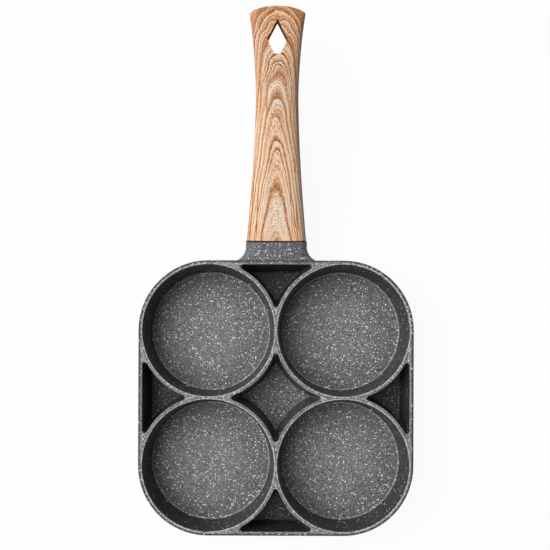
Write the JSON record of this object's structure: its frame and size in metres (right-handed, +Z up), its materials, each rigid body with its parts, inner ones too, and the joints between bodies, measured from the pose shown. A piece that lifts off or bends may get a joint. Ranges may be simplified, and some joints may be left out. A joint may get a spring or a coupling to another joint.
{
  "type": "egg pan",
  "caption": "Square non-stick egg pan with round cups, small pockets between them, a cast neck and a wood-grain handle with a diamond hang hole",
  "frame": {"origin": "centre of the flat base, on the hob", "axes": "+Y out along the handle, +Z up out of the cups, +X to the right with the handle pointing away"},
  "size_m": [0.1898, 0.3542, 0.0615],
  "materials": {
    "speckled_coating": "dark grey non-stick coating with light and dark specks, bare turned metal under the base",
    "wood_grain": "moulded phenolic with a printed wood grain in tan and orange-brown, satin",
    "plated_steel": "zinc-plated"
  },
  "bodies": {
    "root": {"pan_body": "speckled_coating", "handle_grip": "wood_grain", "handle_screw": "plated_steel", "plain_washer": "plated_steel", "spring_washer": "plated_steel"}
  },
  "joints": []
}
